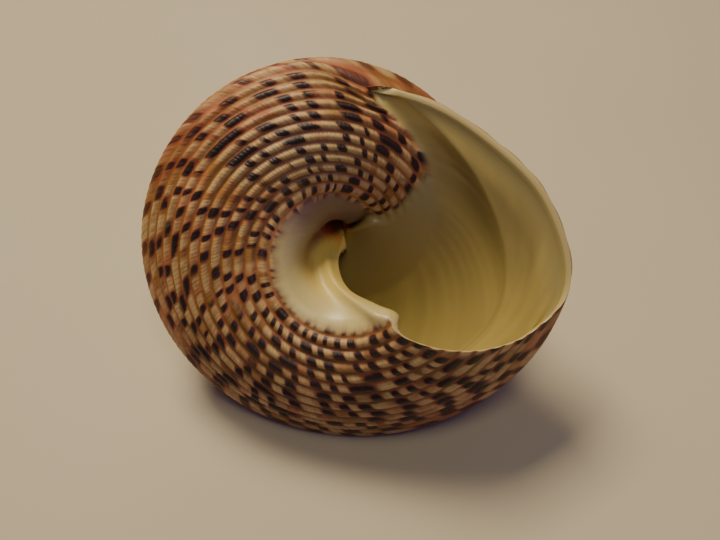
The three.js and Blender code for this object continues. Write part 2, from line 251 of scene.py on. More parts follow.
# ---- the growth rule ---------------------------------------------------------------------
@dataclass
class GrowthLine:
    """The line along which new shell is laid, and how the shell grows: mm and turns.

    The knots give distance from the coiling axis, distance below the tip, and how far round
    the line has swept ahead, at the lip: suture, flank, edge, base, rim, funnel and well.
    """

    knots: tuple[tuple[float, float, float], ...] = (
        (23.9, 40.0, 0.206), (28.6, 46.0, 0.092), (34.3, 52.0, 0.022), (37.5, 57.6, -0.034),
        (33.4, 62.2, -0.066), (28.9, 65.5, -0.082), (24.2, 67.3, -0.097), (18.9, 68.0, -0.114),
        (13.6, 67.4, -0.128), (10.5, 64.7, -0.116), (8.6, 61.2, -0.150), (6.2, 57.1, -0.212),
        (4.0, 52.0, -0.226), (2.8, 47.4, -0.175), (2.4, 44.3, -0.100))
    padded: tuple[tuple[float, float], ...] = (
        (13.6, 67.4), (9.4, 67.0), (5.8, 65.6), (3.2, 62.2), (2.1, 57.0), (1.7, 50.0), (1.5, 42.0))
    pearled: tuple[tuple[float, float], ...] = (
        (13.9, 68.2), (9.6, 68.0), (6.2, 66.8), (3.8, 64.0), (2.5, 59.0), (1.9, 51.0), (1.6, 42.0))
    growth: float = 1.5             # times larger, each turn
    suture: float = 3.5             # place where the next whorl is laid on
    rim: float = 8.0                # place where the base ends and the funnel begins
    pillar_root: float = 9.2        # place where the pillar's lining meets the whorl before
    pillar_end: float = 13.0        # last place of the lining, on the pillar
    pearl_edge: float = -0.835      # stage, in turns: shell older than this is pearled
    flank_cords: int = 8
    base_cords: int = 11
    steps: int = 1400               # steps in which the line is measured
    lengths: np.ndarray = field(init=False)
    spots: np.ndarray = field(init=False)
    band_turns: float = field(init=False)

    def __post_init__(self) -> None:
        """Measure the line, so that cords can be spaced evenly along it."""
        self.spots = np.linspace(0.0, self.end, self.steps + 1)
        line = np.array([self.at(spot)[:2] for spot in self.spots])
        walked = np.hypot(*np.diff(line, axis=0).T)
        self.lengths = np.concatenate([[0.0], np.cumsum(walked)])
        self.band_turns = 1 - (self.knots[0][2] - self.at(self.suture)[2])

    @property
    def end(self) -> float:
        """Last place on the line."""
        return float(len(self.knots) - 1)

    def aged(self, index: int, pad: float, pearl: float) -> tuple[float, float, float]:
        """One knot once the funnel has been padded, and pearl laid over the pad.

        Args:
            index: Number of the knot.
            pad: How much of the pad is laid, 0 to 1.
            pearl: How much of the pearl, 0 to 1.

        Returns:
            Distance from the axis, distance below the tip, and sweep.
        """
        reach, drop, sweep = self.knots[index]
        k = index - (len(self.knots) - len(self.padded))
        if k < 0 or pad == pearl == 0:
            return reach, drop, sweep
        worn = [a + (b - a) * pad for a, b in zip((reach, drop), self.padded[k])]
        laid = [a + (b - a) * pearl for a, b in zip(worn, self.pearled[k])]
        return laid[0], laid[1], sweep

    def at_stage(self, place: float, stage: float) -> tuple[float, float, float]:
        """The same as at, for a spot laid down some turns before the lip.

        Args:
            place: Place on the growth line.
            stage: When it was laid down, in turns: 0 at the lip, negative before.

        Returns:
            Distance from the axis, distance below the tip, and sweep.
        """
        pad = smooth((-stage - 0.02) / 0.45)
        pad *= 1 - 0.45 * math.exp(-(((stage - self.pearl_edge - 0.012) / 0.022) ** 2))
        return self.at(place, pad, smooth((self.pearl_edge - stage) / 0.03))

    def at(self, place: float, pad: float = 0.0, pearl: float = 0.0) -> tuple[float, float, float]:
        """Distance from the axis, distance below the tip, and sweep at a place.

        Args:
            place: Place on the growth line.
            pad: How much of the pad is laid, 0 to 1.
            pearl: How much of the pearl, 0 to 1.

        Returns:
            The three values.
        """
        last = len(self.knots) - 1
        i = min(int(place), last - 1)
        f = place - i
        a, b, c, d = (self.aged(k, pad, pearl) for k in (max(i - 1, 0), i, i + 1, min(i + 2, last)))
        found = []
        for p, q, s, t in zip(a, b, c, d):
            v0 = (s - p) / 2
            v1 = (t - q) / 2
            cubic = 2 * q - 2 * s + v0 + v1
            square = -3 * q + 3 * s - 2 * v0 - v1
            found.append((cubic * f + square) * f * f + v0 * f + q)
        return found[0], found[1], found[2]

    def outward(self, place: float) -> tuple[float, float]:
        """Direction out of the shell at a place, along the radius and down the axis.

        Args:
            place: Place on the growth line.

        Returns:
            A direction of length 1.
        """
        r0, h0, _ = self.at(max(place - 0.02, 0.0))
        r1, h1, _ = self.at(min(place + 0.02, self.end))
        size = math.hypot(r1 - r0, h1 - h0)
        return (h1 - h0) / size, -(r1 - r0) / size

    def length_at(self, place: float) -> float:
        """Length along the line up to a place."""
        return float(np.interp(place, self.spots, self.lengths))

    def flank_share(self, place: float) -> float:
        """Share of the way down the flank, 1 at the suture."""
        return self.length_at(place) / self.length_at(self.suture)

    def place_at(self, length: float) -> float:
        """Place reached after a length along the line."""
        return float(np.interp(length, self.lengths, self.spots))

    def cord_at(self, place: float) -> float:
        """Number of cords passed on the way to a place.

        Args:
            place: Place on the growth line.

        Returns:
            The number of cords.
        """
        flank = self.length_at(self.suture)
        length = self.length_at(place)
        if length <= flank:
            return self.flank_cords * length / flank
        return self.flank_cords + self.base_cords * (length - flank) / (self.length_at(self.rim) - flank)

    def even(self, first: float, last: float, count: int) -> list[float]:
        """Places from first to last, evenly spaced in length.

        Args:
            first: First place.
            last: Last place.
            count: Number of steps between them.

        Returns:
            The places, one more than the steps.
        """
        a = self.length_at(first)
        b = self.length_at(last)
        inner = [self.place_at(a + (b - a) * i / count) for i in range(1, count)]
        return [first, *inner, last]


@dataclass
class Knot:
    """One point of the net, before it is coiled: place, outward direction and relief."""

    reach: float
    drop: float
    turn: float
    out: tuple[float, float] = (0.0, 0.0)
    ribs: float = 0.0
    cords: float = 0.0
    stage: float = 0.0
    pull: tuple[float, float, float] = (0.0, 0.0, 0.0)


@dataclass(frozen=True)
class Link:
    """A point of the net as one face sees it."""

    order: float
    knot: int
    stage: float
    cords: float
    lining: float = 0.0


@dataclass
class ShellNet:
    """The flat net of the shell: growth lines by rows, the hollow's lining, and the lip."""

    line: GrowthLine
    fine: int = 12                  # columns drawn for each coarse one
    rows_per_cord: int = 6
    funnel_rows: int = 20
    well_rows: int = 10
    coarse_columns: int = 28        # coarse columns in a band, from one pass of the suture to the next
    bands: int = 11                 # bands from the lip to the tip
    aged_rows: int = 40             # rows before the rim from which pad and pearl count
    last_dip: float = 0.5           # places by which the last suture drops
    dip_turns: float = 0.45         # turns over which it drops
    dip_fade: float = 1.7           # places past the suture over which the base makes room
    oldest_cords: float = -2.3      # stage, in turns, where the cords begin
    rope_turns: float = 0.6         # turns back from the lip that the pillar swells
    lip_wall: float = 0.9           # walls in mm, at the lip's size
    wall: float = 2.3
    pillar_wall: float = 3.0
    roof_fill: float = 4.2
    edge_place: float = 3.1         # place of the shell's edge
    edge_round: float = 1.3         # places either way over which it is rounded off inside
    lip_setback: float = 0.006      # turns by which the lining stands back from the lip
    cavity: int = 30                # coarse columns that the hollow goes in
    corner_lip: float = 4.0         # place of the roof's corner near the lip
    corner_deep: float = 6.4        # and deep inside
    step_inside: int = 2            # columns between two growth lines drawn inside
    lining_rows: int = 80
    fillet_rows: int = 10
    root_rows: int = 10
    lip_rows: int = 5
    lip_step: float = 0.2           # mm, the step just inside the lip
    rope_curl: float = 1.1          # mm, how far the pillar's free edge curls
    root_back: int = 3              # coarse columns that the pillar's root is set back
    root_spread: float = 0.15       # places over which the root's rows are spread
    well_place: float = 13.2        # place from which the well's rows are counted
    knots: list[Knot] = field(default_factory=list)
    faces: list[tuple[Link, ...]] = field(default_factory=list)
    named: dict[tuple, int] = field(default_factory=dict)

    def __post_init__(self) -> None:
        """Space the rows down the growth line, and the columns round the shell."""
        line = self.line
        self.band = self.coarse_columns * self.fine
        self.first = -self.bands * self.band
        self.turn_step = line.band_turns / self.band
        flank = line.even(0.0, line.suture, line.flank_cords * self.rows_per_cord)
        base = line.even(line.suture, line.rim, line.base_cords * self.rows_per_cord)
        funnel = line.even(line.rim, line.pillar_root, self.funnel_rows)
        well = line.even(line.pillar_root, line.end, self.well_rows)
        self.places = flank + base[1:] + funnel[1:] + well[1:]
        self.row_suture = len(flank) - 1
        self.row_rim = self.row_suture + len(base) - 1
        self.row_root = self.row_rim + len(funnel) - 1
        self.row_axis = len(self.places) - 1
        self.row_cords = [line.cord_at(place) for place in self.places]
        self.pillar_column = -2 * round(0.5 / self.turn_step) - self.root_back * self.fine
        self.deep_column = self.pillar_column - self.cavity * self.fine

    # -- points --
    def suture_place(self, stage: float) -> float:
        """Place where the next whorl is laid on this one; the last suture drops.

        Args:
            stage: When it was laid down, in turns: 0 at the lip, negative before.

        Returns:
            The place.
        """
        turns = self.line.band_turns
        if stage <= -turns + 1e-9:
            dropped = smooth((stage + turns + self.dip_turns) / self.dip_turns)
            return self.line.suture + self.last_dip * dropped
        return self.line.suture + self.last_dip * (1 - smooth((stage + turns) / 0.05))

    def dipped(self, place: float, stage: float) -> float:
        """Place of a row once it has made room for the dropped suture.

        Args:
            place: Place of the row without the drop.
            stage: When it was laid down, in turns: 0 at the lip, negative before.

        Returns:
            Its place with the drop.
        """
        stretch = self.suture_place(stage) - self.line.suture
        if place <= self.line.suture:
            share = smooth((self.line.flank_share(place) - 0.6) / 0.4)
        else:
            share = 1 - smooth((place - self.line.suture) / self.dip_fade)
        return place + stretch * share

    def drifted(self, cords: float, stage: float) -> float:
        """Cord count at a spot: on the base the cords drift outwards as the shell grows."""
        return cords + 0.33 * smooth((stage + 0.55) / 0.42) * smooth((cords - 9) / 4)

    def surface(self, row: int, column: int) -> Knot:
        """Point of the outer surface on a row and a column.

        Args:
            row: Row of the net.
            column: Column of the net, 0 at the lip and negative before.

        Returns:
            The point.
        """
        line = self.line
        stage = column * self.turn_step
        place = self.places[row]
        if place < line.suture + self.dip_fade:
            place = self.dipped(place, stage)
        aged = row > self.row_rim - self.aged_rows
        reach, drop, sweep = line.at_stage(place, stage) if aged else line.at(place)
        turn = stage + sweep
        if row > self.row_rim and stage > -self.rope_turns:
            out = line.outward(place)
            swell = self.rope(place, -stage * math.tau * reach)
            reach, drop = reach + out[0] * swell, drop + out[1] * swell
        fade = smooth((stage - self.oldest_cords) / 0.6)
        rim = smooth((self.row_rim + 2 * self.rows_per_cord - row) / (2.0 * self.rows_per_cord))
        glazed = smooth((stage + 0.86) / 0.05) if row > self.row_suture else 1.0
        edge = 1 - 0.7 * smooth((stage + 0.05) / 0.05)
        cords = self.drifted(self.row_cords[row], stage)
        knot = Knot(reach, drop, turn, line.outward(place), fade * rim * glazed * edge, cords, stage)
        if row < self.row_suture:
            knot.pull = self.pull_at(row / self.row_suture, stage, turn)
        return knot

    def pull_at(self, share: float, stage: float, turn: float) -> tuple[float, float, float]:
        """How far a spot some share of the way down the flank follows its suture down.

        Args:
            share: Share of the way down the flank.
            stage: When it was laid down, in turns: 0 at the lip, negative before.
            turn: Turn of the spot on the spiral.

        Returns:
            The shift in mm, of the coiled shell.
        """
        below = self.suture_place(stage - self.line.band_turns)
        here = self.coiled(*self.line.at(self.line.suture)[:2], turn - 1)
        there = self.coiled(*self.line.at(below)[:2], turn - 1)
        return tuple((there - here) * max(1 - share, 0.0) ** 3)

    def rope(self, place: float, back: float) -> float:
        """Swelling of the pillar along its free edge, some mm back from the edge.

        Args:
            place: Place on the growth line.
            back: Distance back from the free edge, in mm.

        Returns:
            The swelling in mm, negative where the pillar is hollowed.
        """
        there = smooth((place - 8.3) / 0.7)
        swell = 0.85 * math.exp(-(((back - 2.0) / 1.3) ** 2)) * (1 - smooth((place - 13.0) / 0.8))
        furrow = 0.6 * math.exp(-(((back - 5.4) / 1.6) ** 2)) * smooth((place - 9.8) / 1.2)
        curl = self.rope_curl * (1 - min(back / 1.6, 1)) ** 2 * (1 - smooth((place - 11.4) / 1.2))
        return there * (swell - furrow * (1 - smooth((place - 12.6) / 1.0)) - curl)

    def coiled(self, reach: float, drop: float, turn: float) -> Vector:
        """Point of the coiled shell, tip at the origin and base down.

        Args:
            reach: Distance from the axis, at the lip's size.
            drop: Distance below the tip, at the lip's size.
            turn: Turn on the spiral.

        Returns:
            The point in mm.
        """
        size = self.line.growth ** turn
        angle = math.tau * turn
        return Vector((size * reach * math.cos(angle), -size * reach * math.sin(angle), -size * drop))

    def add(self, knot: Knot) -> int:
        """Add one point, and give its number."""
        self.knots.append(knot)
        return len(self.knots) - 1

    def vertex(self, row: int, column: int) -> int:
        """Number of a surface point: a whorl's top row is the suture row of the whorl before.

        Args:
            row: Row of the net.
            column: Column of the net, 0 at the lip and negative before.

        Returns:
            The number.
        """
        if row == 0 and column - self.band >= self.first:
            return self.vertex(self.row_suture, column - self.band)
        key = ("outer", row, column)
        if key not in self.named:
            self.named[key] = self.add(self.surface(row, column))
        return self.named[key]

    def link(self, row: int, column: int, order: float | None = None) -> Link:
        """A surface point, with the colour place of this whorl.

        Args:
            row: Row of the net.
            column: Column of the net, 0 at the lip and negative before.
            order: Where it stands in its chain; its row, where none is given.

        Returns:
            The point as this whorl sees it.
        """
        stage = column * self.turn_step
        cords = self.drifted(self.row_cords[row], stage)
        return Link(row if order is None else order, self.vertex(row, column), stage, cords)

    # -- faces --
    def strip(self, left: list[Link], right: list[Link]) -> None:
        """Faces between two chains that run the same way.

        Args:
            left: Chain on the older side.
            right: Chain on the younger side, or farther in.
        """
        a = b = 0
        while a < len(left) - 1 or b < len(right) - 1:
            next_a = left[a + 1].order if a < len(left) - 1 else math.inf
            next_b = right[b + 1].order if b < len(right) - 1 else math.inf
            level = abs(next_a - next_b) < 1e-9
            if level:
                face = (left[a], right[b], right[b + 1], left[a + 1])
                a += 1
                b += 1
            elif next_a < next_b:
                face = (left[a], right[b], left[a + 1])
                a += 1
            else:
                face = (left[a], right[b], right[b + 1])
                b += 1
            self.face(face)

    def face(self, links: tuple[Link, ...]) -> None:
        """Keep one face, without repeated corners.

        Args:
            links: Corners, in order.
        """
        kept: list[Link] = []
        for item in links:
            if all(item.knot != other.knot for other in kept):
                kept.append(item)
        if len(kept) > 2:
            self.faces.append(tuple(kept))

    def column_step(self, band: int) -> int:
        """Columns between two growth lines drawn, on a band.

        Args:
            band: Bands before the lip, 0 for the last.

        Returns:
            The number of columns.
        """
        for limit, step in ((0, 1), (2, 2), (5, 4)):
            if band <= limit:
                return step
        return 8

    def row_step(self, band: int) -> int:
        """Rows between two drawn, on a band.

        Args:
            band: Bands before the lip, 0 for the last.

        Returns:
            The number of rows.
        """
        for limit, step in ((1, 1), (4, 2)):
            if band <= limit:
                return step
        return 4

    def chain(self, column: int, rows: range) -> list[Link]:
        """Points down one growth line."""
        return [self.link(row, column) for row in rows]

    def draw_spire(self) -> None:
        """Flanks of the older whorls, suture to suture."""
        column = self.first
        while column < -self.band:
            band = -(column + 1) // self.band
            step = self.column_step(band)
            after = column + step
            rows_here = range(0, self.row_suture + 1, self.row_step(band))
            rows_next = range(0, self.row_suture + 1, self.row_step(-(after + 1) // self.band))
            self.strip(self.chain(column, rows_here[:-1]), self.chain(after, rows_next[:-1]))
            finer = self.column_step(band - 1)
            edge = [self.link(self.row_suture, c, c) for c in range(column, after + 1, finer)]
            inner = [self.link(rows_here[-2], column, column), self.link(rows_next[-2], after, after)]
            self.strip(edge, inner)
            column = after

    def draw_body(self) -> None:
        """The last part-turn, and the base that runs on into the mouth."""
        rows = range(0, self.row_axis + 1)
        for column in range(-self.band, 0):
            self.strip(self.chain(column, rows), self.chain(column + 1, rows))
        step = self.step_inside
        for column in range(self.deep_column, -self.band, step):
            after = column + step
            here = self.inside_rows(column, after)
            there = self.inside_rows(after, after)
            self.strip(self.chain(column, here), self.chain(after, there))

    def corner_row(self, inward: float) -> int:
        """Row on which the hollow's roof meets the whorl before.

        Args:
            inward: Coarse columns in from the lip.

        Returns:
            The row.
        """
        place = self.corner_deep - (self.corner_deep - self.corner_lip) * math.exp(-inward / 3.5)
        row = self.row_suture
        while row < self.row_rim and self.places[row] < place and inward > 0:
            row += 1
        return row

    def inside_rows(self, column: int, after: int) -> range:
        """Rows of the whorl before that show inside the hollow.

        Args:
            column: Column of the net, 0 at the lip and negative before.
            after: Younger column of the strip being drawn.

        Returns:
            The rows.
        """
        inward = min(-self.band - column, self.cavity * self.fine) / self.fine
        last = self.row_axis if after > self.pillar_column else self.row_root
        return range(self.corner_row(inward), last + 1)

    # -- lining --
    def lining_place(self, index: int, inward: float) -> float:
        """Place of a lining row: the rows start lower down the farther in they are.

        Args:
            index: Number of the lining row.
            inward: Coarse columns in from the lip.

        Returns:
            The place.
        """
        first = self.line.length_at(0.4 + 1.5 * smooth(inward / 5))
        last = self.line.length_at(self.line.pillar_end)
        return self.line.place_at(first + (last - first) * index / self.lining_rows)

    def wall_at(self, place: float, inward: float) -> float:
        """Thickness of the shell, in mm at the lip's size.

        Args:
            place: Place on the growth line.
            inward: Coarse columns in from the lip.

        Returns:
            The thickness.
        """
        pillar = smooth((place - 7.6) / 1.2)
        lip = self.lip_wall + (self.wall - self.lip_wall) * smooth(inward / 1.6)
        knob = 0.9 * math.exp(-(((place - 8.5) / 0.5) ** 2)) * (1 - smooth(inward / 2))
        bend = math.exp(-(((place - self.edge_place) / 1.1) ** 2))
        narrowing = 1 + 0.25 * smooth((inward - 20) / 10) * (1 - bend) - 0.22 * bend * smooth(inward / 6)
        roof = self.roof_fill * math.exp(-place / 1.3) * smooth(inward / 4)
        slim = self.pillar_wall - 1.3 * smooth((place - 10) / 2)
        slim -= 0.8 * smooth((place - 11.5) / 0.8) * (1 - smooth((place - 12.5) / 0.7))
        outside = smooth((place - 2.0) / 0.8) * (1 - smooth((place - 7.0) / 1.0))
        step = self.lip_step * outside * smooth((inward - 0.55) / 0.2)
        return (lip * (1 - pillar) + slim * pillar + knob + roof + step) * narrowing

    def lining_knot(self, place: float, inward: float, share: float = 1.0, ahead: float = 0.0) -> Knot:
        """Point of the lining, or of the lip on the way to it.

        Args:
            place: Place on the growth line.
            inward: Coarse columns in from the lip.
            share: How far through the wall, from the outside.
            ahead: How far the lip's rounded edge stands forward, in mm.

        Returns:
            The point.
        """
        sweep = self.line.at(place)[2]
        reach, drop = self.through(place, inward, share)
        turn = sweep - inward * self.fine * self.turn_step - self.lip_setback * share
        turn += ahead / (math.tau * max(reach, 1.0))
        turn += 0.02 * share * smooth((place - 12.4) / 0.8) * (1 - smooth(inward / 3))
        stage = -inward * self.turn_step * self.fine
        knot = Knot(reach, drop, turn)
        knot.stage, knot.cords = stage, self.line.cord_at(place)
        knot.pull = self.pull_at(self.line.flank_share(place), stage, turn)
        return knot

    def through(self, place: float, inward: float, share: float) -> tuple[float, float]:
        """Reach and drop some share of the way through the wall, rounded off inside the edge.

        Args:
            place: Place on the growth line.
            inward: Coarse columns in from the lip.
            share: How far through the wall, from the outside.

        Returns:
            Distance from the axis, and distance below the tip.
        """
        near = math.exp(-(((place - self.edge_place) / 1.5) ** 2))
        spread = self.edge_round * share * smooth((inward - 0.8) / 5) * near
        steps = (-1.0, -0.6, -0.2, 0.2, 0.6, 1.0) if spread > 0.05 else (0.0,)
        reach = drop = 0.0
        for step in steps:
            spot = max(place + spread * step, 0.0)
            wall = self.wall_at(spot, inward) * share
            out = self.line.outward(spot)
            reach += (self.line.at(spot)[0] - out[0] * wall) / len(steps)
            drop += (self.line.at(spot)[1] - out[1] * wall) / len(steps)
        return reach, drop

    def lining_chain(self, column: int) -> list[Link]:
        """Points down the lining, from the corner under the roof to the root of the pillar.

        Args:
            column: Column of the net, 0 at the lip and negative before.

        Returns:
            The chain.
        """
        inward = -column / self.fine
        stage = column * self.turn_step
        corner = self.link(self.corner_row(inward), column - self.band, 0.0)
        root = self.link(self.row_root, self.pillar_column + column, 1000.0)
        chain = [corner]
        first = self.lining_number(0, column)
        for i in range(1, self.fillet_rows):
            share = i / self.fillet_rows
            number = self.fillet_number(column, i, corner.knot, first)
            chain.append(Link(share, number, corner.stage, corner.cords, share))
        for i in range(self.lining_rows + 1):
            cords = self.line.cord_at(self.lining_place(i, inward))
            chain.append(Link(i + 1, self.lining_number(i, column), stage, cords, 1.0))
        last = chain[-1].knot
        for i in range(1, self.root_rows):
            share = i / self.root_rows
            number = self.root_number(column, i, last, root.knot)
            chain.append(Link(self.lining_rows + 1 + share, number, stage, root.cords, 1.0))
        chain.append(root)
        return chain

    def lining_number(self, index: int, column: int) -> int:
        """Number of a lining point.

        Args:
            index: Number of the lining row.
            column: Column of the net, 0 at the lip and negative before.

        Returns:
            The number.
        """
        key = ("lining", index, column)
        if key not in self.named:
            inward = -column / self.fine
            self.named[key] = self.add(self.lining_knot(self.lining_place(index, inward), inward))
        return self.named[key]

    def fillet_number(self, column: int, index: int, corner: int, first: int) -> int:
        """Number of a point on the rounded corner between the whorl before and the roof.

        Args:
            column: Column of the net, 0 at the lip and negative before.
            index: Number of the fillet row.
            corner: Number of the corner point on the whorl before.
            first: Number of the first lining point.

        Returns:
            The number.
        """
        key = ("fillet", column, index)
        if key in self.named:
            return self.named[key]
        inward = -column / self.fine
        row = self.corner_row(inward)
        start = self.on_this_whorl(self.knots[corner])
        behind = self.on_this_whorl(self.surface(row + 2, column - self.band))
        finish = self.as_array(self.knots[first])
        beyond = self.as_array(self.lining_knot(self.lining_place(1, inward), inward))
        spot = self.rounded(behind, start, finish, beyond, index / self.fillet_rows)
        knot = Knot(*map(float, spot), stage=self.knots[first].stage)
        knot.pull = tuple(part * smooth(index / self.fillet_rows) for part in self.knots[first].pull)
        self.named[key] = self.add(knot)
        return self.named[key]

    def rounded(self, behind: np.ndarray, start: np.ndarray, finish: np.ndarray, beyond: np.ndarray,
                t: float, firm: float = 1.0) -> np.ndarray:
        """Point some way from start to finish on a curve that runs on from behind, towards beyond.

        Args:
            behind: Point before the start.
            start: Start of the curve.
            finish: End of the curve.
            beyond: Point past the end.
            t: How far along the curve, 0 to 1.
            firm: How strongly it runs on from behind.

        Returns:
            The point.
        """
        reach = float(np.hypot(*(finish - start)[:2]))
        leave = (start - behind) / max(float(np.hypot(*(start - behind)[:2])), 1e-6) * reach * firm
        arrive = (beyond - finish) / max(float(np.hypot(*(beyond - finish)[:2])), 1e-6) * reach
        leave[2] = arrive[2] = finish[2] - start[2]
        return (start * (2 * t**3 - 3 * t**2 + 1) + leave * (t**3 - 2 * t**2 + t)
                + finish * (3 * t**2 - 2 * t**3) + arrive * (t**3 - t**2))

    def root_number(self, column: int, index: int, last: int, root: int) -> int:
        """Number of a point on the rounded corner between the pillar and the whorl before.

        Args:
            column: Column of the net, 0 at the lip and negative before.
            index: Number of the root row.
            last: Number of the last lining point.
            root: Number of the root point on the whorl before.

        Returns:
            The number.
        """
        key = ("root", column, index)
        if key not in self.named:
            start = self.as_array(self.knots[last])
            behind = start + np.array([0.0, 1.0, 0.0])
            finish = self.on_this_whorl(self.knots[root])
            beyond = self.on_this_whorl(self.surface(self.row_root - 2, self.pillar_column + column))
            spot = self.rounded(behind, start, finish, beyond, index / self.root_rows, 0.5)
            self.named[key] = self.add(Knot(*map(float, spot), stage=self.knots[last].stage))
        return self.named[key]

    def as_array(self, knot: Knot) -> np.ndarray:
        """Reach, drop and turn of a point."""
        return np.array([knot.reach, knot.drop, knot.turn])

    def on_this_whorl(self, knot: Knot) -> np.ndarray:
        """Reach, drop and turn of a point of the whorl before, counted as one of this whorl."""
        return np.array([knot.reach / self.line.growth, knot.drop / self.line.growth, knot.turn + 1])

    def draw_lining(self) -> None:
        """Roof, outer wall, floor and pillar of the hollow."""
        step = self.step_inside
        for column in range(0, -self.cavity * self.fine, -step):
            self.strip(self.lining_chain(column), self.lining_chain(column - step))

    def draw_lip(self) -> None:
        """The lip's rounded edge, and the step down by the axis."""
        end = self.line.end
        outer = [self.link(row, 0, self.places[row]) for row in range(self.row_axis + 1)]
        column = 0
        while column > self.pillar_column:
            column -= 1 if column > -self.band else self.step_inside
            outer.append(self.link(self.row_axis, column, end + column / self.pillar_column))
        inner = []
        for link in self.lining_chain(0)[:-1]:
            place = self.lining_place(max(int(link.order) - 1, 0), 0.0)
            if link.order < 1:
                place *= link.order
            if link.order > self.lining_rows + 1:
                place = self.line.pillar_end + (link.order - self.lining_rows - 1) * self.root_spread
            inner.append(Link(place, link.knot, link.stage, link.cords, link.lining))
        for row in range(self.row_root, self.row_axis + 1):
            share = (row - self.row_root) / (self.row_axis - self.row_root)
            order = self.well_place + (end - self.well_place) * share if share < 1 else end + 1
            inner.append(self.link(row, self.pillar_column, order))
        before = outer
        for i in range(1, self.lip_rows):
            share = i / self.lip_rows
            chain = [Link(outer[0].order, outer[0].knot, 0.0, 0.0, share)]
            for index in range(self.lining_rows + 1):
                place = self.lining_place(index, 0.0)
                wall = self.wall_at(place, 0.0)
                curl = -self.rope(place, 0.0) / wall
                ahead = 0.3 * wall * (1 - curl) * math.sin(math.pi * share)
                number = self.add(self.lining_knot(place, 0.0, curl + (1 - curl) * share, ahead))
                chain.append(Link(place, number, 0.0, self.line.cord_at(place), share))
            chain.append(Link(end + 0.02, outer[self.row_axis].knot, 0.0, self.row_cords[-1], share))
            self.strip(before, chain)
            before = chain
        self.strip(before, inner)

    # -- closing --
    def close_loops(self) -> None:
        """Close the tip and the deep end of the hollow with a fan each."""
        edges: dict[tuple[int, int], Link] = {}
        for links in self.faces:
            for i, item in enumerate(links):
                edges[item.knot, links[(i + 1) % len(links)].knot] = item
        onward = {q: p for p, q in edges if (q, p) not in edges}
        sample = {q: edges[p, q] for p, q in edges if (q, p) not in edges}
        while onward:
            start = next(iter(onward))
            loop = [start]
            at = onward.pop(start)
            while at != start and at in onward:
                loop.append(at)
                at = onward.pop(at)
            middle = sum((self.coiled(*self.as_array(self.knots[n])) for n in loop), Vector()) / len(loop)
            turns = sum(self.knots[n].turn for n in loop) / len(loop)
            hub = self.add(self.uncoiled(middle, turns))
            for i, number in enumerate(loop):
                near = sample[number]
                ends = (number, loop[(i + 1) % len(loop)], hub)
                self.faces.append(tuple(Link(0, n, near.stage, near.cords, near.lining) for n in ends))

    def uncoiled(self, spot: Vector, near: float) -> Knot:
        """Point of the net that coils up to a spot, on the turn nearest to one given.

        Args:
            spot: Point of the coiled shell, in mm.
            near: Turn to be nearest to.

        Returns:
            The point of the net.
        """
        angle = math.atan2(-spot.y, spot.x) / math.tau
        turn = angle + round(near - angle)
        size = self.line.growth ** turn
        return Knot(math.hypot(spot.x, spot.y) / size, -spot.z / size, turn, stage=near)

    def mesh(self) -> bpy.types.Mesh:
        """The net as a mesh drawn flat: reach, drop and turn are its x, y and z.

        Returns:
            The flat mesh, with its attributes.
        """
        self.draw_spire()
        self.draw_body()
        self.draw_lining()
        self.draw_lip()
        self.close_loops()
        made = bpy.data.meshes.new("shell_net")
        knots = self.knots
        made.from_pydata([(k.reach, k.drop, k.turn) for k in knots], [],
                         [tuple(link.knot for link in links) for links in self.faces])
        for name, values in (("out", [(*k.out, 0.0) for k in knots]), ("pull", [k.pull for k in knots])):
            layer = made.attributes.new(name, "FLOAT_VECTOR", "POINT")
            layer.data.foreach_set("vector", np.array(values, dtype=np.float32).ravel())
        for name, values in (("ribs", [k.ribs for k in knots]), ("cords", [k.cords for k in knots]),
                             ("stage", [k.stage for k in knots])):
            layer = made.attributes.new(name, "FLOAT", "POINT")
            layer.data.foreach_set("value", np.array(values, dtype=np.float32))
        layer = made.attributes.new("laid", "FLOAT_VECTOR", "CORNER")
        seen = [(link.stage, link.cords, link.lining) for links in self.faces for link in links]
        layer.data.foreach_set("vector", np.array(seen, dtype=np.float32).ravel())
        return made


# ---- the tree that coils the net ----------------------------------------------------------
class Size(Enum):
    """Named inputs of the coiling tree, with the values this shell has."""

    GROWTH = ("Growth per turn", GrowthLine.growth)
    CORD_HEIGHT = ("Cord height", 0.34)
    GRANULE_HEIGHT = ("Granule height", 0.05)
    LINE_HEIGHT = ("Growth line height", 0.10)
    SPIN = ("Spin", math.radians(6.1))
    LEAN = ("Lean", math.radians(56.2))
    TABLE_LEVEL = ("Table level", 0.65)
    MIDDLE_X = ("Middle x", 3.29885)
    MIDDLE_Y = ("Middle y", -32.51674)


GRANULES = 395.0       # granules laid down over the size of the whole shell, on the flank
DASHES = 88.0          # dark dashes laid down over the size of the whole shell


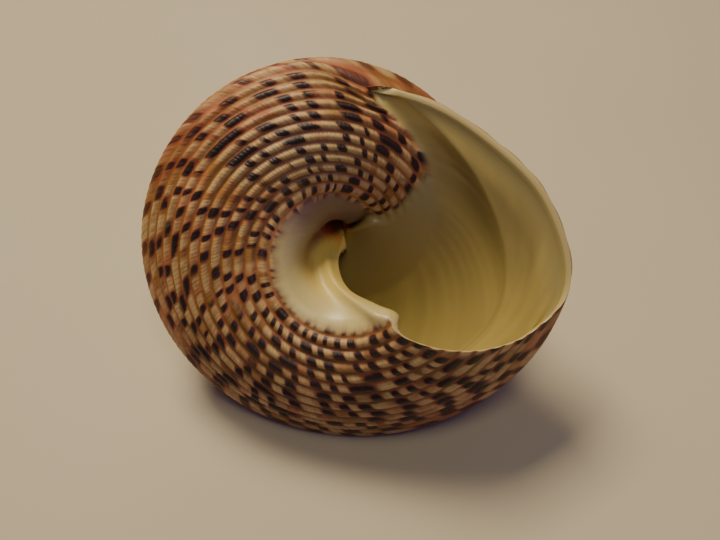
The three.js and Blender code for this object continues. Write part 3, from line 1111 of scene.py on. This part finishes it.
@dataclass
class TopShell:
    """The shell itself: net, coiling tree and finish."""

    line: GrowthLine = field(default_factory=GrowthLine)
    rested_fade: float = 0.9        # mm over the table in which the relief fades out

    def coil(self, board: Board, sizes: dict[Size, Wire], reach: Value, drop: Value, turn: Wire) -> Wire:
        """Nodes that coil one point up about the axis.

        Args:
            board: The tree to add nodes to.
            sizes: Wires of the tree's named inputs.
            reach: Distance from the axis, at the lip's size.
            drop: Distance below the tip, at the lip's size.
            turn: Turn on the spiral.

        Returns:
            The point in mm.
        """
        size = sizes[Size.GROWTH] ** turn
        angle = turn * math.tau
        across = size * reach
        x = across * board.math("COSINE", angle)
        y = -(across * board.math("SINE", angle))
        return board.xyz(x, y, -(size * drop))

    def lay(self, board: Board, sizes: dict[Size, Wire], spot: Wire) -> Wire:
        """Nodes that turn the coiled shell base up, spin it and lean it on its flank.

        Args:
            board: The tree to add nodes to.
            sizes: Wires of the tree's named inputs.
            spot: Point of the coiled shell.

        Returns:
            The point of the shell as it lies.
        """
        flipped = board.vector("MULTIPLY", spot, (1.0, -1.0, -1.0))
        spun = board.node("ShaderNodeVectorRotate", {"rotation_type": "Z_AXIS"},
                          {"Vector": flipped, "Angle": sizes[Size.SPIN]})
        leant = board.node("ShaderNodeVectorRotate", {"rotation_type": "X_AXIS"},
                           {"Vector": board.out(spun), "Angle": sizes[Size.LEAN]})
        return board.out(leant)

    def attribute(self, board: Board, name: str, kind: str = "FLOAT") -> Wire:
        """Nodes that read one of the net's attributes."""
        made = board.node("GeometryNodeInputNamedAttribute", {"data_type": kind}, {"Name": name})
        return board.out(made, "Attribute")

    def relief(self, board: Board, sizes: dict[Size, Wire]) -> Wire:
        """Nodes for the height of cords, granules and growth lines, in mm.

        Args:
            board: The tree to add nodes to.
            sizes: Wires of the tree's named inputs.

        Returns:
            The height.
        """
        ribs = self.attribute(board, "ribs")
        cords = self.attribute(board, "cords")
        stage = self.attribute(board, "stage")
        groove = board.math("ABSOLUTE", board.math("COSINE", cords * math.pi))
        ridge = 1 - groove ** 3.0 * 2
        laid = sizes[Size.GROWTH] ** stage
        row = board.math("FLOOR", cords)
        granules = board.wave(laid * GRANULES + row * 0.37)
        crest = board.ease(ridge, -0.2, 0.9)
        strong = board.ease(cords, 9.0, 13.5, 1.0, 0.0) * board.ease(stage, -0.30, -0.10, 1.0, 0.25)
        lumps = board.noise(stage * 9, cords * 0.45, 3.0, 2.0) - 0.5
        lines = board.noise(stage * 70, cords * 0.25, 7.0, 2.0, 0.6) - 0.5
        height = ridge * sizes[Size.CORD_HEIGHT]
        height = height + granules * crest * strong * sizes[Size.GRANULE_HEIGHT]
        height = height + (lumps * 1.6 + lines * 1.5) * sizes[Size.LINE_HEIGHT]
        return height * ribs

    def tree(self) -> bpy.types.NodeTree:
        """Build the tree that coils, ribs and lays the net.

        Returns:
            The tree.
        """
        tree = bpy.data.node_groups.new("coil_and_lay", "GeometryNodeTree")
        board = Board(tree)
        face = tree.interface
        face.new_socket("Net", in_out="INPUT", socket_type="NodeSocketGeometry")
        for size in Size:
            face.new_socket(size.value[0], in_out="INPUT", socket_type="NodeSocketFloat")
        face.new_socket("Finish", in_out="INPUT", socket_type="NodeSocketMaterial")
        face.new_socket("Shell", in_out="OUTPUT", socket_type="NodeSocketGeometry")
        given = board.node("NodeGroupInput")
        sizes = {size: board.out(given, size.value[0]) for size in Size}
        reach, drop, turn = board.parts(board.out(board.node("GeometryNodeInputPosition")))
        out_r, out_h, _ = board.parts(self.attribute(board, "out", "FLOAT_VECTOR"))
        bare = self.lay(board, sizes, self.coil(board, sizes, reach, drop, turn))
        clear = (board.parts(bare)[2] - sizes[Size.TABLE_LEVEL]) / self.rested_fade
        height = self.relief(board, sizes) * board.ease(clear, 0.0, 1.0)
        spot = self.coil(board, sizes, reach + out_r * height, drop + out_h * height, turn)
        spot = board.vector("ADD", spot, self.attribute(board, "pull", "FLOAT_VECTOR"))
        x, y, z = board.parts(self.lay(board, sizes, spot))
        rested = board.math("MAXIMUM", z - sizes[Size.TABLE_LEVEL], 0.0)
        spot = board.xyz(x - sizes[Size.MIDDLE_X], y - sizes[Size.MIDDLE_Y], rested)
        spot = board.vector("SCALE", spot, scale=MM)
        moved = {"Geometry": board.out(given, "Net"), "Position": spot}
        placed = board.node("GeometryNodeSetPosition", None, moved)
        smoothed = board.node("GeometryNodeSetShadeSmooth", None, {0: board.out(placed)})
        real = board.node("GeometryNodeRealizeInstances", None, {"Geometry": board.out(smoothed)})
        finish = {"Geometry": board.out(real), "Material": board.out(given, "Finish")}
        dressed = board.node("GeometryNodeSetMaterial", None, finish)
        board.node("NodeGroupOutput", None, {"Shell": board.out(dressed)})
        return tree

    def build(self, finish: bpy.types.Material) -> bpy.types.Object:
        """Make the shell, attach it to the root body and hide the part that it replaces.

        Args:
            finish: The shell's material.

        Returns:
            The finished piece.
        """
        net = bpy.data.objects.new("shell_net", ShellNet(self.line).mesh())
        bpy.context.collection.objects.link(net)
        tree = self.tree()
        modifier = net.modifiers.new("coil", "NODES")
        modifier.node_group = tree
        keys = {item.name: item.identifier for item in tree.interface.items_tree if item.in_out == "INPUT"}
        for size in Size:
            modifier[keys[size.value[0]]] = size.value[1]
        modifier[keys["Finish"]] = finish
        net.update_tag()
        graph = bpy.context.evaluated_depsgraph_get()
        made = bpy.data.meshes.new_from_object(net.evaluated_get(graph), depsgraph=graph)
        net.modifiers.clear()
        bpy.data.objects.remove(net)
        made.name = "top_shell_skin"
        shell = bpy.data.objects.new("top_shell_skin", made)
        bpy.context.collection.objects.link(shell)
        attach(shell, "root")
        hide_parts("shell")
        return shell


# ---- the finish ---------------------------------------------------------------------------
@dataclass(frozen=True)
class ShellFinish:
    """Mottled cords, white rim, yellow pillar and pearly lining, by when and where laid down, with painted
    shade in the hollow, the furrow, the crease and on the callus's older side.
    """

    tan: tuple = srgb(164, 114, 50)
    cream: tuple = srgb(212, 182, 122)
    blush: tuple = srgb(204, 124, 84)
    ochre: tuple = srgb(132, 84, 36)
    rust: tuple = srgb(150, 74, 40)
    bark: tuple = srgb(112, 84, 40)
    umber: tuple = srgb(32, 18, 12)
    halo: tuple = srgb(124, 46, 26)
    slate: tuple = srgb(82, 84, 56)
    mauve: tuple = srgb(138, 98, 76)
    chalk: tuple = srgb(200, 180, 118)
    white: tuple = srgb(206, 190, 126)
    # painted shade: grey-lilac for the shaded, older side of the callus
    callus_shade: tuple = srgb(140, 116, 90)
    butter: tuple = srgb(220, 194, 104)
    # painted shade: brown for the furrow by the pillar and for the crease
    shade_brown: tuple = srgb(124, 92, 52)
    # painted shade: browner colour of the deep hollow beside the pillar
    hollow_shade: tuple = srgb(236, 172, 96)
    straw: tuple = srgb(194, 174, 100)
    olive: tuple = srgb(166, 148, 86)
    glaze: tuple = srgb(170, 156, 98)
    worn_before: float = 0.64       # turns before the lip of the paler, worn patch
    crease_before: float = 0.81     # and of the crease across the funnel

    def pattern(self, board: Board, stage: Wire, cords: Wire) -> tuple[Wire, Wire]:
        """Nodes for the colour of the corded outside, and for its fine relief.

        Args:
            board: The material's tree.
            stage: When a spot was laid down, in turns before the lip.
            cords: Where on the growth line, in cords.

        Returns:
            The colour, and a height in mm.
        """
        row = board.math("FLOOR", cords)
        off = board.math("ABSOLUTE", cords - row - 0.5)
        laid = GrowthLine.growth ** stage
        base = board.ease(cords, 11.0, 14.0)
        edge = board.ease(cords, 14.0, 8.0)
        newer = board.ease(stage, -0.45, -0.15)
        fuzz = board.noise(stage * 150, cords * 3.0, 17.0, 3.0, 0.65) - 0.5
        # dashes along each cord, in oblique bars by the edge, scattered on the base; pale between
        wander = board.noise(stage * 13, row * 7.3, 11.0, 1.0)
        throw = board.dice(row, 5.0)
        shift = board.math("FRACT", row * 0.5) * base + throw * (0.15 + base * 0.45)
        phase = laid * DASHES + shift + wander * 2.9
        swing = board.math("ABSOLUTE", board.math("FRACT", phase) - 0.5) * 2
        width = 0.22 + board.noise(stage * 31, row * 3.1, 23.0, 0.0) * 0.34 + newer * 0.06
        across = (off / 0.37) ** 3.0
        shape = (swing / width) ** 3.0 + across + fuzz * 1.7
        present = board.ease(board.noise(stage * 17, row * 5.7, 31.0, 0.0) + newer * 0.1, 0.34, 0.42)
        marked = present * board.ease(cords, 5.0, 10.5, 0.35, 1.0)
        dash = board.ease(shape, 0.55, 1.35, 1.0, 0.0) * marked
        halo = board.ease(shape, 0.8, 3.0, 1.0, 0.0) * marked
        gap = ((1.0 - swing) / (1.05 - width)) ** 3.0 + across + fuzz * 1.6
        paler = board.noise(stage * 22, row * 2.9, 37.0, 1.0)
        pale = board.ease(gap, 0.3, 1.6, 1.0, 0.0) * board.ease(paler, 0.30, 0.55, 0.10, 1.0)
        pale = pale * board.ease(cords, 2.0, 9.0, 0.45, 1.0)
        # the ground colour, redder towards the edge and on the flank
        broad = board.noise(stage * 16, cords * 0.30, 41.0, 3.0, 0.6)
        speck = board.noise(stage * 60, cords * 0.9, 43.0, 3.0, 0.65)
        colour = board.mix(newer * (1 - edge) * 0.7, self.tan, self.bark)
        colour = board.mix(board.ease(broad, 0.40, 0.64) * (edge * 0.3 + 0.55), colour, self.blush)
        colour = board.mix(pale * 0.76, colour, self.cream)
        flame = board.noise(stage * 24 + cords * 0.22, cords * 0.16, 47.0, 2.0, 0.55)
        colour = board.mix(board.ease(flame, 0.48, 0.60) * edge * 0.75, colour, self.rust)
        colour = board.mix(board.ease(speck, 0.44, 0.68) * 0.5, colour, self.ochre)
        colour = board.mix(board.ease(off, 0.34, 0.50) * 0.42, colour, self.ochre)
        # beads lighten the cords
        jitter = board.noise(stage * 120, row * 2.7, 53.0, 1.0) - 0.5
        granules = board.wave(laid * GRANULES * 1.55 + row * 0.4 + jitter * 1.4)
        worn = board.ease(board.math("ABSOLUTE", stage + self.worn_before), 0.03, 0.13, 1.0, 0.0)
        worn = worn * board.ease(cords, 12.5, 14.0) * board.ease(cords, 19.5, 18.0)
        strength = board.ease(stage, -0.30, -0.12, 0.5, 0.2) + worn * 0.6
        ridge = board.ease(off, 0.20, 0.42, 1.0, 0.0)
        colour = board.mix(board.ease(granules, 0.3, -0.9) * ridge * strength * 0.24, colour, self.ochre)
        colour = board.mix(halo * 0.75, colour, self.halo)
        colour = board.mix(dash * 0.96, colour, self.umber)
        # a paler, worn patch where the cords look banded
        striped = board.mix(board.ease(off, 0.18, 0.36), self.chalk, self.mauve)
        colour = board.mix(worn * (1 - dash) * 0.5, colour, striped)
        # grey-green stains
        stain = board.noise(stage * 26, cords * 0.8, 61.0, 4.0, 0.7)
        colour = board.mix(board.ease(stain, 0.60, 0.70) * 0.7, colour, self.slate)
        fine = board.noise(stage * 420, cords * 0.9, 71.0, 1.0)
        colour = board.mix(board.ease(fine, 0.45, 0.75) * 0.15, colour, self.umber)
        height = granules * ridge * strength * 0.02 + (fine - 0.5) * 0.04 + stain * 0.06
        return colour, height

    def material(self) -> bpy.types.Material:
        """Build the shell's material.

        Returns:
            The material.
        """
        made = bpy.data.materials.new("shell_finish")
        made.use_nodes = True
        board = Board(made.node_tree)
        laid = board.node("ShaderNodeAttribute", {"attribute_name": "laid"})
        stage, cords, lining = board.parts(board.out(laid, "Vector"))
        colour, height = self.pattern(board, stage, cords)
        # white callus of the funnel, with painted shade on its older side, then the pillar and the hollow
        # beside it
        ragged = board.noise(stage * 30, cords * 0.3, 81.0, 3.0) - 0.5
        past = cords + ragged * 1.9
        rim = board.ease(past, 19.9, 20.7)
        streaks = board.noise(stage * 60, cords * 0.3, 91.0, 3.0, 0.6)
        # painted shade: the callus goes from white on its newer side to shaded grey-lilac on its older side
        lit_callus = board.ease(stage + ragged * 0.1, -0.62, -0.26)
        shade = board.mix(lit_callus, self.callus_shade, self.white)
        shade = board.mix(board.ease(past, 21.2, 20.2) * 0.6, shade, self.mauve)
        pillar = board.ease(cords, 22.0, 25.0) * board.ease(stage, -0.46, -0.20)
        shade = board.mix(pillar * 0.95, shade, self.butter)
        shade = board.mix(board.ease(streaks, 0.35, 0.7) * pillar * 0.35, shade, self.straw)
        # painted shade: the furrow between the callus and the pillar darkens to brown
        furrow_shade = board.ease(cords, 22.5, 25.5) * board.ease(stage, -0.12, -0.34)
        shade = board.mix(furrow_shade * 0.8, shade, self.shade_brown)
        # painted shade: past the hollow's brink the well takes the hollow's browner colour
        brink = board.ease(stage, -0.55, -0.02, 26.0, 30.0)
        shade = board.mix(board.ease(cords - brink, -1.2, 0.9), shade, self.hollow_shade)
        colour = board.mix(rim, colour, shade)
        # painted shade: a brown band along the crease across the funnel
        crease = board.ease(board.math("ABSOLUTE", stage + self.crease_before), 0.0, 0.05, 1.0, 0.0) * rim
        colour = board.mix(crease * 0.6, colour, self.shade_brown)
        # glaze over the whorl before, just inside the mouth
        wavering = board.noise(stage * 9, cords * 0.55, 97.0, 2.0) - 0.5
        inside = board.ease(stage + wavering * 0.06 * board.ease(cords, 20.0, 16.0), -0.818, -0.838)
        glazed = board.mix(board.ease(stage, -0.84, -1.0), self.glaze, self.olive)
        glazed = board.mix(board.ease(cords, 15.0, 20.0), glazed, self.olive)
        # painted shade: the glaze takes the hollow's colour towards the hollow
        glazed = board.mix(board.ease(cords, 22.5, 25.5) * 0.8, glazed, self.hollow_shade)
        inside = inside * board.ease(cords, GrowthLine.flank_cords - 0.35, GrowthLine.flank_cords + 0.25)
        colour = board.mix(inside, colour, glazed)
        # lining
        lined = board.ease(lining, 0.0, 0.1)
        cloud = board.noise(stage * 7, cords * 0.35, 103.0, 3.0, 0.55)
        pearl = board.mix(board.ease(cloud, 0.35, 0.65), self.straw, self.olive)
        pearl = board.mix(board.ease(stage, -0.030, -0.014) * 0.8, pearl, self.glaze)
        pearl = board.mix(board.ease(cords, 19.5, 22.5), pearl, self.butter)
        # painted shade: the lining deep in, by the pillar, darkens to olive
        pearl = board.mix(board.ease(stage, -0.03, -0.12) * board.ease(cords, 20.5, 24.0), pearl, self.olive)
        lip = board.ease(lining, 0.95, 0.75) * board.ease(stage, -0.01, -0.004)
        lip = lip * board.ease(cords, 21.0, 19.5)
        pearl = board.mix(lip, pearl, self.chalk)
        colour = board.mix(lined, colour, pearl)
        polish = board.math("MAXIMUM", board.math("MAXIMUM", rim, inside), lined)
        roughness = board.ease(polish, 0.0, 1.0, 0.50, 0.36)
        height = height * (1 - polish) + streaks * polish * 0.03
        bump = board.node("ShaderNodeBump", None, {"Strength": 1.0, "Distance": MM, "Height": height})
        inputs = {"Base Color": colour, "Roughness": roughness, "Normal": board.out(bump),
                  "Specular IOR Level": 0.5, "IOR": 1.53}
        skin = board.node("ShaderNodeBsdfPrincipled", None, inputs)
        board.node("ShaderNodeOutputMaterial", None, {"Surface": board.out(skin)})
        return made


@dataclass(frozen=True)
class TableFinish:
    """Pale, faintly mottled table top."""

    dull: tuple = srgb(192, 181, 152)
    pale: tuple = srgb(199, 189, 161)
    roughness: float = 0.62
    patches: float = 9.0            # patches of mottle over one metre

    def material(self) -> bpy.types.Material:
        """Build the table's material.

        Returns:
            The material.
        """
        made = bpy.data.materials.new("table_finish")
        made.use_nodes = True
        board = Board(made.node_tree)
        x, y, _ = board.parts(board.out(board.node("ShaderNodeTexCoord"), "Object"))
        mottle = board.noise(x * self.patches, y * self.patches, 1.0, 2.0)
        colour = board.mix(board.ease(mottle, 0.3, 0.7), self.dull, self.pale)
        inputs = {"Base Color": colour, "Roughness": self.roughness}
        skin = board.node("ShaderNodeBsdfPrincipled", None, inputs)
        board.node("ShaderNodeOutputMaterial", None, {"Surface": board.out(skin)})
        return made


# ---- studio -------------------------------------------------------------------------------
@dataclass(frozen=True)
class Lamp:
    """One square lamp: place and width in m, power in W."""

    name: str
    spot: Triple
    size: float
    watts: float
    tint: Triple


@dataclass
class Studio:
    """Pale table, soft lamps and the camera."""

    table: float = 1.6              # m
    lamps: tuple[Lamp, ...] = (
        Lamp("key_lamp", (-0.22, 0.38, 0.74), 0.30, 7.6, (1.0, 0.85, 0.61)),
        Lamp("top_lamp", (0.05, -0.17, 0.88), 0.30, 1.7, (1.0, 0.91, 0.62)),
        Lamp("side_lamp", (0.55, -0.45, 0.40), 0.50, 0.40, (0.36, 0.28, 1.0)))
    aim: Triple = (0.0, 0.0, 0.02)  # m, what the lamps face
    room_tint: Triple = (0.24, 0.19, 0.86)
    room_light: float = 0.12
    camera_mm: Triple = (1.2093, -89.5545, 144.1204)
    pitch_deg: float = 57.09
    heading_deg: float = 0.09
    lens_mm: float = 45.0
    sensor_mm: float = 36.0

    def lay_table(self, finish: bpy.types.Material) -> None:
        """Lay the table top under the shell.

        Args:
            finish: The table's material.
        """
        half = self.table / 2
        top = bpy.data.meshes.new("table_top")
        corners = [(-half, -half, 0.0), (half, -half, 0.0), (half, half, 0.0), (-half, half, 0.0)]
        top.from_pydata(corners, [], [(0, 1, 2, 3)])
        top.materials.append(finish)
        floor = bpy.data.objects.new("table_top", top)
        bpy.context.collection.objects.link(floor)

    def hang_lamp(self, lamp: Lamp) -> None:
        """Hang one square lamp, facing the shell.

        Args:
            lamp: The lamp to hang.
        """
        light = bpy.data.lights.new(lamp.name, "AREA")
        light.size = lamp.size
        light.energy = lamp.watts
        light.color = lamp.tint
        hung = bpy.data.objects.new(lamp.name, light)
        hung.location = lamp.spot
        towards = Vector(self.aim) - Vector(lamp.spot)
        hung.rotation_euler = towards.to_track_quat("-Z", "Y").to_euler()
        bpy.context.collection.objects.link(hung)

    def light(self) -> None:
        """Hang the lamps and set the room's own light."""
        for lamp in self.lamps:
            self.hang_lamp(lamp)
        world = bpy.data.worlds.new("room")
        world.use_nodes = True
        background = world.node_tree.nodes["Background"]
        background.inputs["Color"].default_value = (*self.room_tint, 1.0)
        background.inputs["Strength"].default_value = self.room_light
        bpy.context.scene.world = world

    def set_camera(self) -> None:
        """Stand the camera over the near side of the table."""
        lens = bpy.data.cameras.new("camera")
        lens.lens = self.lens_mm
        lens.sensor_width = self.sensor_mm
        lens.clip_start = 0.01
        lens.clip_end = 10.0
        camera = bpy.data.objects.new("camera", lens)
        tilt = Matrix.Rotation(math.radians(90 - self.pitch_deg), 4, "X")
        turn = Matrix.Rotation(-math.radians(self.heading_deg), 4, "Z")
        camera.matrix_world = Matrix.Translation(Vector(self.camera_mm) * MM) @ turn @ tilt
        bpy.context.collection.objects.link(camera)
        bpy.context.scene.camera = camera


def main() -> None:
    """Build the shell and its studio."""
    logging.basicConfig(level=logging.INFO, format="%(message)s")
    studio = Studio()
    studio.set_camera()
    shell = TopShell().build(ShellFinish().material())
    log.info("%s: %d points, %d faces", shell.name, len(shell.data.vertices), len(shell.data.polygons))
    studio.lay_table(TableFinish().material())
    studio.light()


if __name__ == "__main__":
    main()
